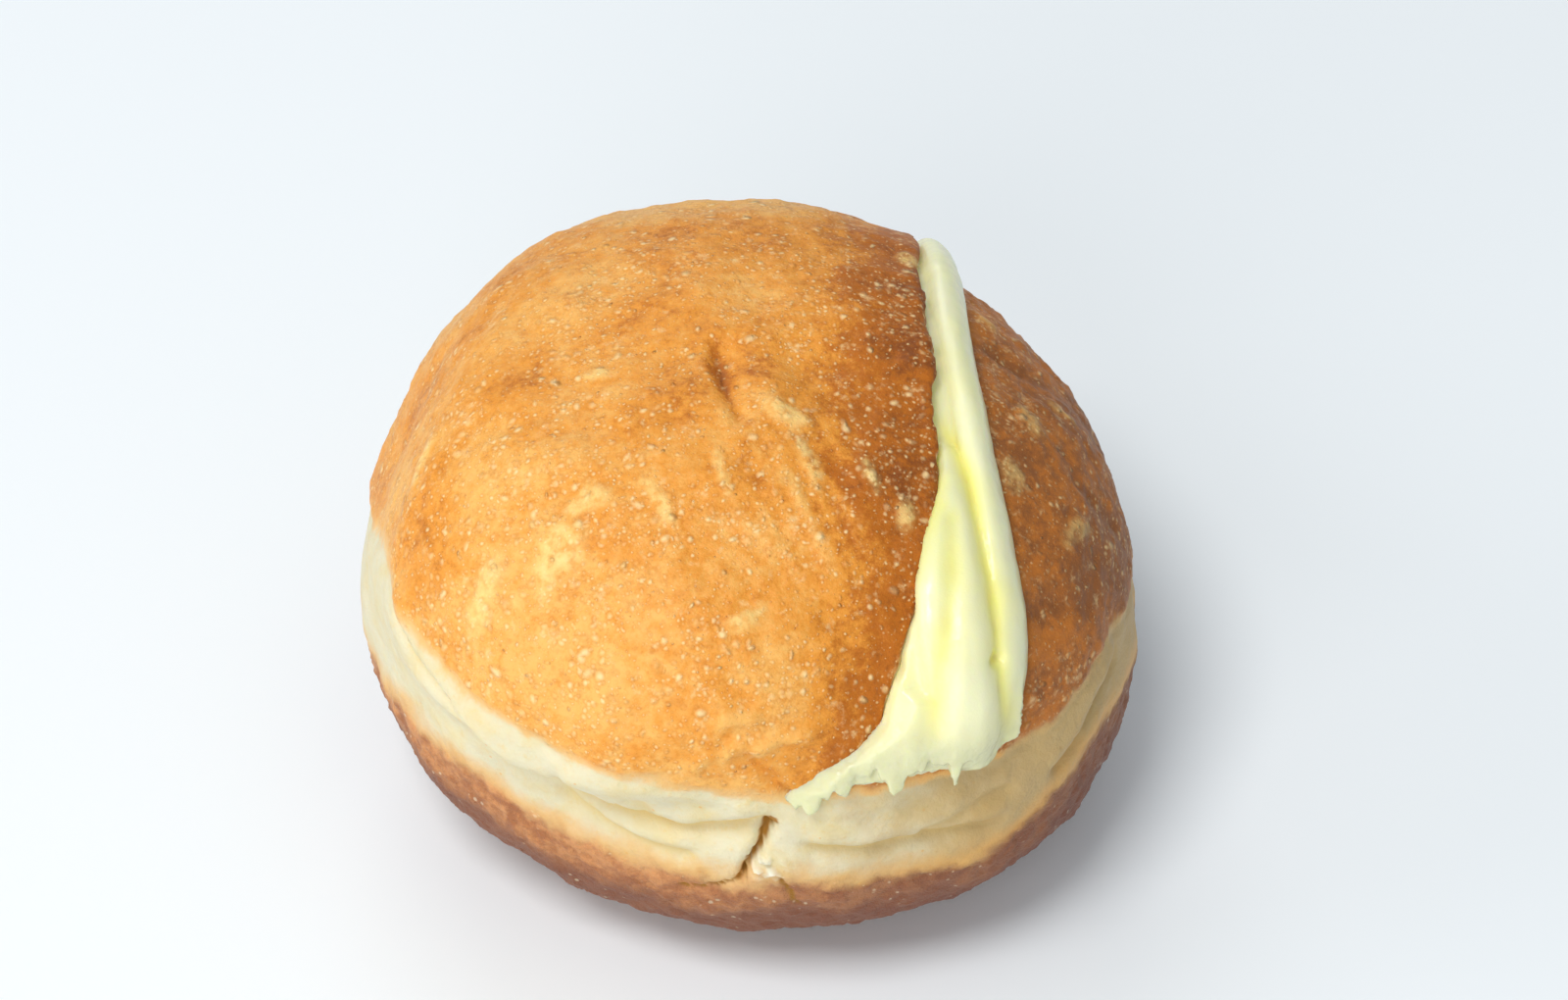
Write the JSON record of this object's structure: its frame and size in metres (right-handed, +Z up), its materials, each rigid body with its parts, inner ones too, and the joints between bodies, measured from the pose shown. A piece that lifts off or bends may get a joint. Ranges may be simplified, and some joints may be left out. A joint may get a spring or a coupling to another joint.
{
  "type": "filled doughnut",
  "caption": "Round fried yeast doughnut with a flat foot and a pale waist, cut open along one side and filled with piped custard cream that stands proud of the cut.",
  "frame": {"origin": "centre of the bounding box's base, on the surface that the doughnut rests on", "axes": "+Z up; -Y is the front, where the cut comes down the side; +X is the side with the narrow flap, so the cut runs along Y to the right of the middle"},
  "size_m": [0.093, 0.0914, 0.0679],
  "materials": {
    "dough": "golden brown fried crust, slightly greasy, with a pale soft waist band",
    "cream": "smooth moist pale yellow custard cream"
  },
  "bodies": {
    "root": {"doughnut": "dough", "cream_filling": "cream"}
  },
  "joints": []
}
